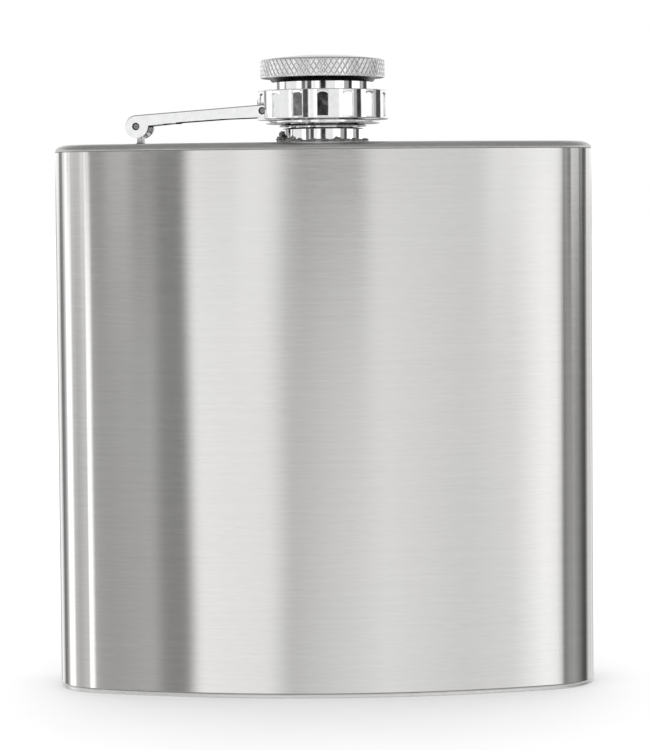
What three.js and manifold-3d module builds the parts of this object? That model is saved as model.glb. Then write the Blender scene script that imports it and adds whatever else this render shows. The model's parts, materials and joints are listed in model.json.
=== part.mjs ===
// A 6 oz curved pocket flask with a captive screw cap on a hinged arm.
// Millimetres. X runs across the flask, the convex front faces -Y, and Z is up.
// The origin is on the ground, at the middle of the object's width and depth.
import * as THREE from 'three';
import { mergeVertices } from 'three/addons/utils/BufferGeometryUtils.js';
import Module from 'manifold-3d';

const wasm = await Module();
wasm.setup();

// ---- Driving dimensions ----

// The body, a kidney shape in plan: a convex front, a concave back and rounded ends.
const BODY_WIDTH = 94.4;
const BODY_HEIGHT = 95.5;
const BODY_THICKNESS = 22;
const MIDLINE_RADIUS = 114;
const CORNER_RADIUS = 9.4;
const WALL = 0.7;
const TOP_RIM_DROP = 1.2;
const TOP_RIM_WIDTH = 2.4;
const BOTTOM_EDGE = 0.2;
const SEAM = 0.2;

// The closure. Heights are above the flat top of the body.
const NECK_BORE_RADIUS = 5.2;
const NECK_THREAD_RADIUS = 6.2;
const NECK_FOOT_RADIUS = 7.15;
const NECK_FOOT_TOP = 2.5;
const NECK_TOP = 8;
const NECK_BELOW_PLATE = 1.5;
const SLEEVE_BORE_RADIUS = 6.65;
const SLEEVE_RADIUS = 7.1;
const SHANK_RADIUS = 8.75;
const LIP_RADIUS = 7.6;
const LIP_BOTTOM = 2.8;
const WASHER_RADIUS = 9.9;
const WASHER_BOTTOM = 3.3;
const WASHER_THICKNESS = 0.5;
const COLLAR_RADIUS = 11.45;
const COLLAR_BOTTOM = 4;
const COLLAR_TOP = 9;
const FLUTE_COUNT = 16;
const FLUTE_WIDTH = 1.9;
const FLUTE_DEPTH = 0.3;
const FLUTE_BOTTOM = 4.4;
const FLUTE_TOP = 8.45;
const SHANK_BOTTOM = 8;
const SHANK_TOP = 10.5;
const HEAD_RADIUS = 10.85;
const HEAD_BOTTOM = 10.8;
const HEAD_RIM = 14.4;
const HEAD_TOP = 15.2;

// The hinge. Its bracket stands on the body's middle line, so the arm is turned in plan.
const BRACKET_X = -32.3;
const BRACKET_PIN_HEIGHT = 3.15;
const BRACKET_STEM = 0.9;
const STEM_MIDDLE = 0.25;
const KNUCKLE_RADIUS = 1.2;
const PIN_RADIUS = 0.7;
const PIN_HOLE_RADIUS = 0.8;
const ARM_WIDTH = 6;
const ARM_SHEET = 0.6;
const ARM_EYE_RADIUS = 2.1;
const COLLAR_PIN_REACH = 10.2;
const COLLAR_PIN_HEIGHT = 5.6;
const COLLAR_EAR_RADIUS = 1.1;
const BAR_START_ANGLE = 0.08;
const BAR_STEP_U = 7;
const BAR_STEP_V = 0.55;

// Clearances between separate pieces.
const GAP = 0.3;

// ---- Values that follow ----

const FRONT_RADIUS = MIDLINE_RADIUS + BODY_THICKNESS / 2;
const BACK_RADIUS = MIDLINE_RADIUS - BODY_THICKNESS / 2;
const END_ANGLE = Math.asin((BODY_WIDTH / 2 - CORNER_RADIUS) / (FRONT_RADIUS - CORNER_RADIUS));
const REAR_REACH = MIDLINE_RADIUS - (BACK_RADIUS + CORNER_RADIUS) * Math.cos(END_ANGLE) + CORNER_RADIUS;
const NECK_Y = (COLLAR_RADIUS - REAR_REACH) / 2;
const PLAN_CENTRE_Y = NECK_Y + MIDLINE_RADIUS;

const BRACKET_SETBACK = MIDLINE_RADIUS - Math.sqrt(MIDLINE_RADIUS ** 2 - BRACKET_X ** 2);
const ARM_TURN = -Math.atan2(BRACKET_SETBACK, -BRACKET_X);
const ARM_REACH = Math.hypot(BRACKET_X, BRACKET_SETBACK);
const COLLAR_PIN_U = ARM_REACH - COLLAR_PIN_REACH;
const COLLAR_PIN_V = COLLAR_PIN_HEIGHT - BRACKET_PIN_HEIGHT;
const KNUCKLE_WIDTH = ARM_WIDTH - 2 * ARM_SHEET - 2 * GAP;
const STEM_NEAR = STEM_MIDDLE - BRACKET_STEM / 2;
const STEM_FAR = STEM_MIDDLE + BRACKET_STEM / 2;

const QUARTER = Math.PI / 2;
const ROUND_STEPS = 48;

// ---- Materials ----

function metal(color, roughness) {
  return new THREE.MeshStandardMaterial({ color, roughness, metalness: 1 });
}

function brushedSteel() {
  return metal(0xc3c1bd, 0.35);
}

function chrome() {
  return metal(0xe4e5e7, 0.08);
}

function weldMetal() {
  return metal(0x7d7b77, 0.6);
}

function sealPlastic() {
  return new THREE.MeshStandardMaterial({ color: 0xe9e7e0, roughness: 0.6, metalness: 0 });
}

// ---- Solids ----

// Turns a closed three.js geometry into a solid that can be joined and cut.
function toSolid(geometry) {
  const bare = geometry.clone();
  bare.deleteAttribute('normal');
  bare.deleteAttribute('uv');
  const merged = mergeVertices(bare);
  const index = merged.index.array;
  const triangles = [];
  for (let i = 0; i < index.length; i += 3) {
    const [a, b, c] = [index[i], index[i + 1], index[i + 2]];
    if (a !== b && b !== c && c !== a) {
      triangles.push(a, b, c);
    }
  }
  const vertProperties = new Float32Array(merged.attributes.position.array);
  const triVerts = new Uint32Array(triangles);
  return new wasm.Manifold(new wasm.Mesh({ numProp: 3, vertProperties, triVerts }));
}

function toGeometry(solid) {
  const { vertProperties, triVerts } = solid.getMesh();
  const geometry = new THREE.BufferGeometry();
  geometry.setAttribute('position', new THREE.BufferAttribute(new Float32Array(vertProperties), 3));
  geometry.setIndex(new THREE.BufferAttribute(new Uint32Array(triVerts), 1));
  geometry.computeVertexNormals();
  return geometry;
}

function cut(solid, ...tools) {
  return tools.reduce((rest, tool) => rest.subtract(tool), solid);
}

// A box between two corners.
function boxSolid([x0, y0, z0], [x1, y1, z1]) {
  const geometry = new THREE.BoxGeometry(x1 - x0, y1 - y0, z1 - z0);
  geometry.translate((x0 + x1) / 2, (y0 + y1) / 2, (z0 + z1) / 2);
  return toSolid(geometry);
}

// A turned shape about Z from [radius, height] pairs. They go anticlockwise round the material, and start and end
// on the axis or close on themselves.
function turned(profile, steps = ROUND_STEPS) {
  const points = profile.map(([radius, height]) => new THREE.Vector2(radius, height));
  return new THREE.LatheGeometry(points, steps).rotateX(QUARTER);
}

function turnedRing(profile, steps = ROUND_STEPS) {
  return turned([...profile, profile[0]], steps);
}

// A round bar along Y, centred on the origin.
function barAlongY(radius, length, steps = 24) {
  return new THREE.CylinderGeometry(radius, radius, length, steps);
}

// An outline in the X-Z plane, given thickness along Y and centred on it.
function plateAlongY(shape, thickness) {
  const options = { depth: thickness, bevelEnabled: false, curveSegments: 8 };
  return new THREE.ExtrudeGeometry(shape, options).rotateX(QUARTER).translate(0, thickness / 2, 0);
}

function named(name, geometry, material) {
  const mesh = new THREE.Mesh(geometry, material);
  mesh.name = name;
  return mesh;
}

// ---- Body ----

function arcPoints(x, y, radius, from, to, steps) {
  const points = [];
  for (let i = 0; i <= steps; i += 1) {
    const angle = from + ((to - from) * i) / steps;
    points.push(new THREE.Vector2(x + radius * Math.cos(angle), y + radius * Math.sin(angle)));
  }
  return points;
}

// The body's outline in plan, moved inwards by inset.
function planOutline(inset) {
  const cornerSteps = 8;
  const corner = CORNER_RADIUS - inset;
  const frontCentre = FRONT_RADIUS - CORNER_RADIUS;
  const backCentre = BACK_RADIUS + CORNER_RADIUS;
  const across = Math.sin(END_ANGLE);
  const back = Math.cos(END_ANGLE);
  const front = PLAN_CENTRE_Y - frontCentre * back;
  const rear = PLAN_CENTRE_Y - backCentre * back;
  return [
    ...arcPoints(0, PLAN_CENTRE_Y, FRONT_RADIUS - inset, -QUARTER - END_ANGLE, -QUARTER + END_ANGLE, 26),
    ...arcPoints(frontCentre * across, front, corner, -QUARTER + END_ANGLE, END_ANGLE, cornerSteps).slice(1),
    ...arcPoints(backCentre * across, rear, corner, END_ANGLE, QUARTER + END_ANGLE, cornerSteps),
    ...arcPoints(0, PLAN_CENTRE_Y, BACK_RADIUS + inset, -QUARTER + END_ANGLE, -QUARTER - END_ANGLE, 22).slice(1),
    ...arcPoints(-backCentre * across, rear, corner, QUARTER - END_ANGLE, Math.PI - END_ANGLE, cornerSteps).slice(1),
    ...arcPoints(-frontCentre * across, front, corner, Math.PI - END_ANGLE, 3 * QUARTER - END_ANGLE, cornerSteps)
      .slice(0, -1),
  ];
}

// A slab of the body's outline with a rounded upper rim, from bottom up to top.
function roundedSlab(inset, bottom, top) {
  const options = {
    depth: top - bottom,
    bevelEnabled: true,
    bevelSize: TOP_RIM_WIDTH,
    bevelThickness: TOP_RIM_DROP,
    bevelSegments: 4,
    curveSegments: 1,
  };
  const outline = new THREE.Shape(planOutline(inset + TOP_RIM_WIDTH));
  const slab = new THREE.ExtrudeGeometry(outline, options).translate(0, 0, bottom - TOP_RIM_DROP);
  const below = boxSolid([-BODY_WIDTH, -BODY_WIDTH, bottom - 4 * TOP_RIM_DROP], [BODY_WIDTH, BODY_WIDTH, bottom]);
  return cut(toSolid(slab), below);
}

function bodyShell() {
  const bottom = WALL + SEAM;
  const outline = new THREE.Shape(planOutline(0));
  outline.holes.push(new THREE.Path(planOutline(WALL).reverse()));
  const depth = BODY_HEIGHT - TOP_RIM_DROP - SEAM - bottom;
  const wall = new THREE.ExtrudeGeometry(outline, { depth, bevelEnabled: false, curveSegments: 1 });
  return named('body_shell', wall.translate(0, 0, bottom), brushedSteel());
}

function topPlate() {
  const bottom = BODY_HEIGHT - TOP_RIM_DROP;
  const outside = roundedSlab(0, bottom, BODY_HEIGHT);
  const inside = roundedSlab(WALL, bottom - WALL, BODY_HEIGHT - WALL);
  const hole = new THREE.CylinderGeometry(NECK_FOOT_RADIUS + GAP, NECK_FOOT_RADIUS + GAP, 10, ROUND_STEPS);
  hole.rotateX(QUARTER).translate(0, NECK_Y, BODY_HEIGHT);
  return named('top_plate', toGeometry(cut(outside, inside, toSolid(hole))), brushedSteel());
}

function bottomPlate() {
  const options = {
    depth: WALL - 2 * BOTTOM_EDGE,
    bevelEnabled: true,
    bevelSize: BOTTOM_EDGE,
    bevelThickness: BOTTOM_EDGE,
    bevelSegments: 1,
    curveSegments: 1,
  };
  const plate = new THREE.ExtrudeGeometry(new THREE.Shape(planOutline(BOTTOM_EDGE)), options);
  return named('bottom_plate', plate.translate(0, 0, BOTTOM_EDGE), brushedSteel());
}

// ---- Neck and cap, turned about the neck's axis, heights above the flat top ----

function neck() {
  const chamfer = 0.4;
  const profile = [
    [NECK_BORE_RADIUS, -NECK_BELOW_PLATE],
    [NECK_FOOT_RADIUS, -NECK_BELOW_PLATE],
    [NECK_FOOT_RADIUS, NECK_FOOT_TOP - GAP],
    [NECK_THREAD_RADIUS, NECK_FOOT_TOP],
    [NECK_THREAD_RADIUS, NECK_TOP - chamfer],
    [NECK_THREAD_RADIUS - chamfer, NECK_TOP],
    [NECK_BORE_RADIUS, NECK_TOP],
  ];
  return named('neck', turnedRing(profile), chrome());
}

function neckWeld() {
  const inner = NECK_FOOT_RADIUS + GAP;
  const profile = [
    [inner, SEAM],
    [inner + 1.1, SEAM],
    [inner + 0.8, 0.7],
    [inner, 1.1],
  ];
  return named('neck_weld', turnedRing(profile), weldMetal());
}

function capSleeve() {
  const roof = SHANK_TOP - 0.9;
  const profile = [
    [0, roof],
    [SLEEVE_BORE_RADIUS, roof],
    [SLEEVE_BORE_RADIUS, LIP_BOTTOM],
    [LIP_RADIUS - 0.15, LIP_BOTTOM],
    [LIP_RADIUS, LIP_BOTTOM + 0.12],
    [LIP_RADIUS, LIP_BOTTOM + 0.18],
    [SLEEVE_RADIUS, LIP_BOTTOM + 0.4],
    [SLEEVE_RADIUS, SHANK_BOTTOM],
    [SHANK_RADIUS, SHANK_BOTTOM],
    [SHANK_RADIUS, SHANK_TOP],
    [0, SHANK_TOP],
  ];
  return named('cap_sleeve', turned(profile), chrome());
}

function capGasket() {
  const radius = SLEEVE_BORE_RADIUS - GAP;
  const disc = new THREE.CylinderGeometry(radius, radius, 1, ROUND_STEPS).rotateX(QUARTER);
  return named('cap_gasket', disc.translate(0, 0, NECK_TOP + GAP + 0.5), sealPlastic());
}

function retainingWasher() {
  const inner = SLEEVE_RADIUS + 0.2;
  const top = WASHER_BOTTOM + WASHER_THICKNESS;
  const profile = [
    [inner, WASHER_BOTTOM],
    [WASHER_RADIUS, WASHER_BOTTOM],
    [WASHER_RADIUS, top],
    [inner, top],
  ];
  return named('retaining_washer', turnedRing(profile), chrome());
}

// The head's knurled band stands between two chamfers, under a low dome.
function capHead() {
  const underRim = HEAD_BOTTOM + 0.3;
  const chamfer = 0.3;
  const domeRadius = HEAD_RADIUS - 2 * chamfer;
  const domeSteps = 6;
  const profile = [
    [0, HEAD_BOTTOM],
    [SHANK_RADIUS, HEAD_BOTTOM],
    [SHANK_RADIUS + 0.3, underRim],
    [HEAD_RADIUS - chamfer, underRim],
    [HEAD_RADIUS, underRim + chamfer],
    [HEAD_RADIUS, HEAD_RIM - chamfer],
    [HEAD_RADIUS - chamfer, HEAD_RIM],
  ];
  for (let i = 0; i <= domeSteps; i += 1) {
    const part = i / domeSteps;
    profile.push([domeRadius * (1 - part), HEAD_RIM + (HEAD_TOP - HEAD_RIM) * (1 - (1 - part) ** 2)]);
  }
  return named('cap_head', turned(profile), metal(0xc9cacc, 0.25));
}

// ---- Collar ----

// A block that cuts one flat-bottomed grip flute. The flute's upper end is an arch.
function fluteCutter(angle) {
  const half = FLUTE_WIDTH / 2;
  const shape = new THREE.Shape();
  shape.moveTo(-half, FLUTE_BOTTOM);
  shape.lineTo(half, FLUTE_BOTTOM);
  shape.absellipse(0, FLUTE_TOP - half / 2, half, half / 2, 0, 2 * QUARTER, false, 0);
  shape.closePath();
  const block = plateAlongY(shape, 2 * FLUTE_DEPTH).translate(0, COLLAR_RADIUS, 0);
  return toSolid(block.rotateZ(angle - QUARTER));
}

// Everything that the arm's two ears need: a slot for each on either side of the lug, a flat beside each slot and
// the pin's hole. It lies along -X from the neck's axis before it is turned to the arm's direction.
function earClearance() {
  const lug = ARM_WIDTH / 2 - ARM_SHEET - GAP;
  const slot = ARM_WIDTH / 2 + GAP;
  const ceiling = COLLAR_PIN_HEIGHT + COLLAR_EAR_RADIUS + GAP;
  const floor = COLLAR_BOTTOM - 1;
  const slotDepth = COLLAR_PIN_REACH - COLLAR_EAR_RADIUS - GAP;
  const flatDepth = COLLAR_PIN_REACH - COLLAR_EAR_RADIUS;
  const flatWidth = 7.1;
  const outside = COLLAR_RADIUS + 2;
  const hole = barAlongY(PIN_HOLE_RADIUS, ARM_WIDTH).translate(-COLLAR_PIN_REACH, 0, COLLAR_PIN_HEIGHT);
  const solids = [toSolid(hole.rotateZ(ARM_TURN))];
  for (const side of [-1, 1]) {
    const slotSides = [side * lug, side * slot].sort((a, b) => a - b);
    const flatSides = [side * (slot - 0.1), side * flatWidth].sort((a, b) => a - b);
    const slotBox = boxSolid([-outside, slotSides[0], floor], [-slotDepth, slotSides[1], ceiling]);
    const flatBox = boxSolid([-outside, flatSides[0], floor], [-flatDepth, flatSides[1], ceiling]);
    solids.push(slotBox.add(flatBox).rotate([0, 0, THREE.MathUtils.radToDeg(ARM_TURN)]));
  }
  return solids;
}

function collar() {
  const bore = SLEEVE_RADIUS + 0.45;
  const recess = SHANK_RADIUS + GAP;
  const step = SHANK_BOTTOM - GAP;
  const chamfer = 0.25;
  const profile = [
    [bore, COLLAR_BOTTOM],
    [COLLAR_RADIUS - chamfer, COLLAR_BOTTOM],
    [COLLAR_RADIUS, COLLAR_BOTTOM + chamfer],
    [COLLAR_RADIUS, COLLAR_TOP - chamfer],
    [COLLAR_RADIUS - chamfer, COLLAR_TOP],
    [recess, COLLAR_TOP],
    [recess, step],
    [bore, step],
  ];
  const cutters = [];
  for (let i = 0; i < FLUTE_COUNT; i += 1) {
    cutters.push(fluteCutter(-QUARTER + (i * 2 * Math.PI) / FLUTE_COUNT));
  }
  const ring = cut(toSolid(turnedRing(profile, 64)), ...cutters, ...earClearance());
  return named('collar', toGeometry(ring), chrome());
}

// ---- Hinge: X runs along the arm from the bracket's pin, Y along the pin, Z up ----

// A thin stem under a round knuckle.
function hingeBracket() {
  const foot = SEAM - BRACKET_PIN_HEIGHT;
  const start = Math.asin(STEM_FAR / KNUCKLE_RADIUS) - QUARTER;
  const end = 3 * QUARTER + Math.asin(STEM_NEAR / KNUCKLE_RADIUS);
  const shape = new THREE.Shape();
  shape.moveTo(STEM_NEAR, foot);
  shape.lineTo(STEM_FAR, foot);
  shape.absarc(0, 0, KNUCKLE_RADIUS, start, end, false);
  shape.closePath();
  const eye = new THREE.Path();
  eye.absarc(0, 0, PIN_HOLE_RADIUS, 0, 4 * QUARTER, true);
  shape.holes.push(eye);
  return named('hinge_bracket', plateAlongY(shape, KNUCKLE_WIDTH), chrome());
}

// A low kerb of weld with bevelled sides, all round the foot of the bracket.
function bracketWeld() {
  const foot = SEAM - BRACKET_PIN_HEIGHT;
  const half = BRACKET_STEM / 2 + GAP;
  const across = KNUCKLE_WIDTH / 2 + GAP;
  const crest = 0.12;
  const slope = 0.3;
  const outline = new THREE.Shape();
  outline.moveTo(-half - crest, -across - crest);
  outline.lineTo(half + crest, -across - crest);
  outline.lineTo(half + crest, across + crest);
  outline.lineTo(-half - crest, across + crest);
  outline.closePath();
  const options = { depth: slope, bevelEnabled: true, bevelSize: slope, bevelThickness: slope, bevelSegments: 2 };
  const kerb = toSolid(new THREE.ExtrudeGeometry(outline, options).translate(0, 0, foot));
  const below = boxSolid([-2 * across, -2 * across, foot - 1], [2 * across, 2 * across, foot]);
  const stem = boxSolid([-half, -across, foot - 1], [half, across, foot + 1]);
  const ring = cut(kerb, below, stem).translate([STEM_MIDDLE, 0, 0]);
  return named('bracket_weld', toGeometry(ring), weldMetal());
}

function bracketPin() {
  return named('bracket_pin', barAlongY(PIN_RADIUS, ARM_WIDTH + 0.2), chrome());
}

function collarPin() {
  const pin = barAlongY(PIN_RADIUS, ARM_WIDTH);
  return named('collar_pin', pin.translate(COLLAR_PIN_U, 0, COLLAR_PIN_V), chrome());
}

// The side view of the arm: a round eye at the bracket's pin, then a rising bar, then a round ear.
function armSide() {
  const webTop = COLLAR_PIN_V + COLLAR_EAR_RADIUS;
  const rise = Math.atan2(webTop - ARM_EYE_RADIUS, COLLAR_PIN_U);
  const shape = new THREE.Shape();
  shape.absarc(0, 0, ARM_EYE_RADIUS, QUARTER + rise, 4 * QUARTER + BAR_START_ANGLE, false);
  shape.lineTo(BAR_STEP_U, BAR_STEP_V);
  shape.lineTo(BAR_STEP_U, BAR_STEP_V + 0.1);
  shape.absarc(COLLAR_PIN_U, COLLAR_PIN_V, COLLAR_EAR_RADIUS, -QUARTER, QUARTER, false);
  shape.closePath();
  for (const [u, v] of [[0, 0], [COLLAR_PIN_U, COLLAR_PIN_V]]) {
    const hole = new THREE.Path();
    hole.absarc(u, v, PIN_HOLE_RADIUS, 0, 4 * QUARTER, true);
    shape.holes.push(hole);
  }
  return shape;
}

// What is folded away between the two sides: only a web along the top is left, short of both pins.
function armInside() {
  const webStart = 2.6;
  const webEnd = ARM_REACH - COLLAR_RADIUS - 0.7;
  const webTop = COLLAR_PIN_V + COLLAR_EAR_RADIUS;
  const slope = (webTop - ARM_EYE_RADIUS) / COLLAR_PIN_U;
  const under = (u) => ARM_EYE_RADIUS + slope * u - ARM_SHEET;
  const shape = new THREE.Shape();
  shape.moveTo(-5, -5);
  shape.lineTo(ARM_REACH, -5);
  shape.lineTo(ARM_REACH, 5);
  shape.lineTo(webEnd, 5);
  shape.lineTo(webEnd, under(webEnd));
  shape.lineTo(webStart, under(webStart));
  shape.lineTo(webStart, 5);
  shape.lineTo(-5, 5);
  shape.closePath();
  return shape;
}

function arm() {
  const block = toSolid(plateAlongY(armSide(), ARM_WIDTH));
  const inside = toSolid(plateAlongY(armInside(), ARM_WIDTH - 2 * ARM_SHEET));
  return named('arm', toGeometry(cut(block, inside)), chrome());
}

// ---- Assembly ----

const closure = new THREE.Group();
closure.position.set(0, NECK_Y, BODY_HEIGHT);
closure.add(neck(), neckWeld(), capSleeve(), capGasket(), retainingWasher(), capHead(), collar());

const hinge = new THREE.Group();
hinge.position.set(BRACKET_X, NECK_Y + BRACKET_SETBACK, BODY_HEIGHT + BRACKET_PIN_HEIGHT);
hinge.rotation.z = ARM_TURN;
hinge.add(hingeBracket(), bracketWeld(), bracketPin(), collarPin(), arm());

const flask = new THREE.Group();
flask.add(bodyShell(), topPlate(), bottomPlate(), closure, hinge);

export default flask;
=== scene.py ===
"""The looks of a brushed steel pocket flask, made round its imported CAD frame.

Lengths are in millimetres until a mesh is made, and in metres inside the materials.
"""
import json
import math

import bmesh
import bpy
from mathutils import Matrix, Vector, noise


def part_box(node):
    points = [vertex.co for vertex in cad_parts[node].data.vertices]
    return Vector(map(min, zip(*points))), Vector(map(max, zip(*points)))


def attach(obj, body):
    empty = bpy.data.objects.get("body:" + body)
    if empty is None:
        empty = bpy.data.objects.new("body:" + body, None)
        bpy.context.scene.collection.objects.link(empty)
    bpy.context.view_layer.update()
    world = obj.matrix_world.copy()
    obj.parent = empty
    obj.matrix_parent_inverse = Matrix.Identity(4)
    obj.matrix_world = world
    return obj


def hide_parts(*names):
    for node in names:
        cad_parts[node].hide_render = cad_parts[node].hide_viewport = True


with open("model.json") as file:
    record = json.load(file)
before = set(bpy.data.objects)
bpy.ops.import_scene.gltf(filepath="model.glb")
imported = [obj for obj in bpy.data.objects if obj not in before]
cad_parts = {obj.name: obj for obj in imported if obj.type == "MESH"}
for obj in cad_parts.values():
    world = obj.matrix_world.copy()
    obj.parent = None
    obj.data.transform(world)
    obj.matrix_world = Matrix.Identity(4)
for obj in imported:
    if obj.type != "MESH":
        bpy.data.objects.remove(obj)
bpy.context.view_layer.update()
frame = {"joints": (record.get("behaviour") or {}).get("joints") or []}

MM = 0.001
TURN = 2 * math.pi
# The radius of a ring that closes a turned piece on its axis.
CORE = 0.001


def box_mm(node):
    low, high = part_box(node)
    return low / MM, high / MM


# ---- Places and sizes that the frame gives ----

SHELL_LOW, SHELL_HIGH = box_mm("body_shell")
TOP = box_mm("top_plate")[1].z
NECK_LOW, NECK_HIGH = box_mm("neck")
NECK_X = (NECK_LOW.x + NECK_HIGH.x) / 2
NECK_Y = (NECK_LOW.y + NECK_HIGH.y) / 2
NECK_TOP = NECK_HIGH.z - TOP
COLLAR_LOW, COLLAR_HIGH = box_mm("collar")
HEAD_LOW, HEAD_HIGH = box_mm("cap_head")
WASHER_LOW, WASHER_HIGH = box_mm("retaining_washer")
SLEEVE_LOW, SLEEVE_HIGH = box_mm("cap_sleeve")
JOINTS = {joint["name"]: joint for joint in frame["joints"]}

# ---- The body, as far as the frame's boxes don't hold it ----

THICKNESS = 22
MIDLINE_RADIUS = 114
CORNER_RADIUS = 9.4
WALL = 0.7
RIM_DROP = 1.2
RIM_WIDTH = 2.4
SEAM_TOP = 0.16
SEAM_BOTTOM = 0.1
DENT_DEPTH = 0.05
WIDTH = 94.39
FRONT_RADIUS = MIDLINE_RADIUS + THICKNESS / 2
BACK_RADIUS = MIDLINE_RADIUS - THICKNESS / 2
END_ANGLE = math.asin((WIDTH / 2 - CORNER_RADIUS) / (FRONT_RADIUS - CORNER_RADIUS))
PLAN_CENTRE_Y = NECK_Y + MIDLINE_RADIUS

# ---- The closure ----

NECK_BORE = 5.2
NECK_ROOT = 6.0
NECK_CREST = 6.4
NECK_FOOT = 7.15
NECK_FOOT_TOP = 2.5
THREAD_PITCH = 1.5
THREAD_ROWS_PER_TURN = 16
THREAD_FADE = 0.5
SLEEVE_OUTSIDE = 7.1
SLEEVE_CREST = 6.5
SLEEVE_ROOT = 6.8
SHANK_RADIUS = 8.75
LIP_RADIUS = 7.6
COLLAR_RADIUS = 11.45
FLUTES = 16
KNURL_LINES = 68
KNURL_SLANT = math.radians(33)
KNURL_DEPTH = 0.16
KNURL_STEEPNESS = 3.2
KNURL_LOW, KNURL_HIGH = 0.55, 3.4
# How far above the head's lowest point its underside is painted near-black, as painted shade under the
# knurled rim.
HEAD_SHADE_TOP = 0.36
FLUTE_WIDTH = 1.85
FLUTE_DEPTH = 0.28
FLUTE_ENDS = 0.4, 0.53
COLLAR_STEP = 2.8
COLLAR_FLAT_WIDTH = 7.1

# ---- The hinge ----

PIN_RADIUS = 0.58
PIN_HOLE = 0.66
PIN_RECESS = 0.28
ARM_WIDTH = 6
ARM_SHEET = 0.6
ARM_EYE = 2
ARM_ROUNDING = 0.24
EAR_RADIUS = 1.1
EAR_GAP_INSIDE = 0.2
EAR_GAP = 0.25
KNUCKLE_RADIUS = 1.15
KNUCKLE_WIDTH = 4.2
STEM = 0.88
STEM_MIDDLE = 0.25
STEM_WIDTH = 2.4


# ---- Mesh helpers ----


def link_mesh(name, points, faces, sharp_degrees=35):
    """A smooth-shaded object from points in millimetres, with edges sharper than that angle kept crisp."""
    mesh = bpy.data.meshes.new(name)
    mesh.from_pydata([Vector(p) * MM for p in points], [], faces)
    mesh.update()
    piece = bpy.data.objects.new(name, mesh)
    bpy.context.scene.collection.objects.link(piece)
    tidy_mesh(piece, sharp_degrees)
    return piece


def tidy_mesh(piece, sharp_degrees):
    """Merges doubled points, turns the faces outwards and marks the sharp edges."""
    made = bmesh.new()
    made.from_mesh(piece.data)
    bmesh.ops.remove_doubles(made, verts=made.verts, dist=1e-7)
    bmesh.ops.dissolve_degenerate(made, edges=made.edges, dist=1e-8)
    bmesh.ops.recalc_face_normals(made, faces=made.faces)
    limit = math.radians(sharp_degrees)
    for face in made.faces:
        face.smooth = True
    for edge in made.edges:
        edge.smooth = len(edge.link_faces) == 2 and edge.calc_face_angle(0) < limit
    made.to_mesh(piece.data)
    made.free()
    piece.data.update()


def loft(name, rings, sharp_degrees=35, closed=False, caps=False):
    """Joins rings of equal length, each a loop of points.

    closed joins the last ring to the first, and caps fills the two ends.
    """
    count = len(rings[0])
    points = [point for ring in rings for point in ring]
    faces = []
    pairs = len(rings) if closed else len(rings) - 1
    for i in range(pairs):
        lower = i * count
        upper = ((i + 1) % len(rings)) * count
        for j in range(count):
            k = (j + 1) % count
            faces.append((lower + j, lower + k, upper + k, upper + j))
    if caps:
        faces.append(tuple(reversed(range(count))))
        faces.append(tuple(range(len(points) - count, len(points))))
    return link_mesh(name, points, faces, sharp_degrees)


def circle(radius, height, steps):
    """A ring about the neck's axis, at a height above the flat top. radius may be a function of the angle."""
    ring = []
    for i in range(steps):
        angle = TURN * i / steps
        r = radius(angle) if callable(radius) else radius
        ring.append((NECK_X + r * math.cos(angle), NECK_Y + r * math.sin(angle), TOP + height))
    return ring


def turned(name, profile, steps=128, closed=False):
    """A turned piece on the neck's axis. Its profile is (radius, height) pairs round the material."""
    rings = [circle(radius, height, steps) for radius, height in profile]
    return loft(name, rings, closed=closed, caps=not closed)


def apply_modifiers(piece):
    """Makes what the piece's modifiers do part of its mesh."""
    graph = bpy.context.evaluated_depsgraph_get()
    mesh = bpy.data.meshes.new_from_object(piece.evaluated_get(graph))
    piece.modifiers.clear()
    piece.data = mesh


def cut(piece, *cutters, sharp_degrees=35):
    """Cuts the cutters out of the piece, and deletes them."""
    for cutter in cutters:
        step = piece.modifiers.new("cut", "BOOLEAN")
        step.operation = "DIFFERENCE"
        step.solver = "EXACT"
        step.object = cutter
    apply_modifiers(piece)
    for cutter in cutters:
        bpy.data.objects.remove(cutter)
    tidy_mesh(piece, sharp_degrees)


def soften(piece, width, segments, sharp_degrees=40, lowest=-1, clamp=True):
    """Rounds the sharp edges of the piece, and keeps the shading of its big faces flat.

    An edge is left sharp if both of its faces point further down than lowest, the height of a unit normal.
    clamp narrows all of the rounding to suit the shortest edges, so an outline with fine arcs goes without.
    """
    mesh = bmesh.new()
    mesh.from_mesh(piece.data)
    weight = mesh.edges.layers.float.new("bevel_weight_edge")
    for edge in mesh.edges:
        sharp = edge.is_manifold and edge.calc_face_angle() > math.radians(sharp_degrees)
        edge[weight] = float(sharp and max(face.normal.z for face in edge.link_faces) > lowest)
    mesh.to_mesh(piece.data)
    mesh.free()
    step = piece.modifiers.new("soften", "BEVEL")
    step.width = width * MM
    step.segments = segments
    step.limit_method = "WEIGHT"
    step.use_clamp_overlap = clamp
    apply_modifiers(piece)
    even_shading(piece, sharp_degrees)


def even_shading(piece, sharp_degrees=40):
    """Keeps the shading of the piece's big faces flat, and bends it in the narrow faces between them."""
    tidy_mesh(piece, sharp_degrees)
    even = piece.modifiers.new("even", "WEIGHTED_NORMAL")
    even.keep_sharp = True
    apply_modifiers(piece)


def box_cutter(low, high, matrix):
    """A block between two corners, in the frame that the matrix gives."""
    xs, ys, zs = zip(low, high)
    corners = [(x, y, z) for x in xs for y in ys for z in zs]
    faces = [(0, 1, 3, 2), (4, 6, 7, 5), (0, 4, 5, 1), (2, 3, 7, 6), (0, 2, 6, 4), (1, 5, 7, 3)]
    return link_mesh("cutter", [matrix @ Vector(c) for c in corners], faces)


def arc(x, y, radius, start, end, steps):
    """Points along an arc about (x, y), between two angles in radians."""
    angles = [start + (end - start) * i / steps for i in range(steps + 1)]
    return [(x + radius * math.cos(angle), y + radius * math.sin(angle)) for angle in angles]


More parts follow.
